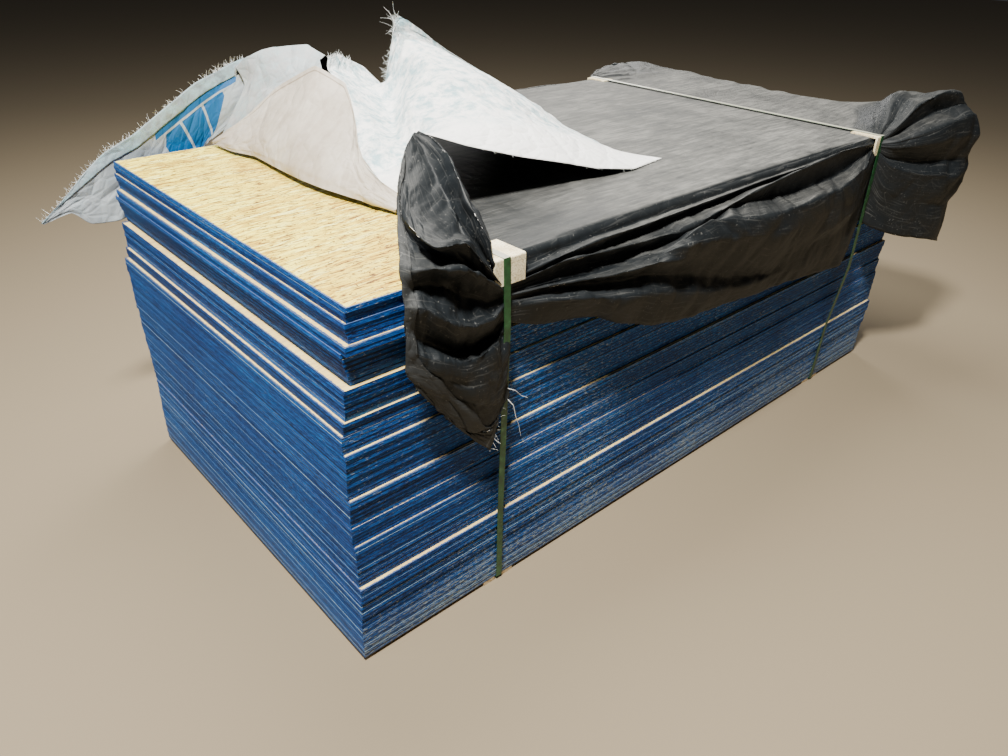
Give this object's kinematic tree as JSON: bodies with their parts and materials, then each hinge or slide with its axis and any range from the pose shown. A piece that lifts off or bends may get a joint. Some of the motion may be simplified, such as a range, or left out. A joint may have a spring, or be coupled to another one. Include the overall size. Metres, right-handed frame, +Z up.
{
  "type": "bundle of oriented strand board",
  "caption": "Strapped stack of oriented strand boards with blue sealed edges, on thin laths, under a partly opened black woven wrap.",
  "frame": {"origin": "floor level under the middle of the lowest sheets", "axes": "+X along the sheets, away from the bare end; +Y across the sheets, away from the near long side; +Z up"},
  "size_m": [2.804, 1.6456, 1.3073],
  "materials": {
    "strand_board": "pale strands on the faces, blue sealer sprayed on the edges",
    "strap": "green polyester strapping, scuffed",
    "fibre_board": "pressed fibre, speckled",
    "lath_wood": "rough sawn",
    "woven_wrap": "coated woven polypropylene, black outside and white inside, dusty and creased"
  },
  "bodies": {
    "root": {"osb_sheets": "strand_board", "strap_left": "strap", "strap_right": "strap", "protector_left_near": "fibre_board", "protector_left_far": "fibre_board", "protector_right_near": "fibre_board", "protector_right_far": "fibre_board", "lath_left_outer": "lath_wood", "lath_left_inner": "lath_wood", "lath_right_outer": "lath_wood", "lath_right_inner": "lath_wood", "lumber_wrap": "woven_wrap"}
  },
  "joints": []
}
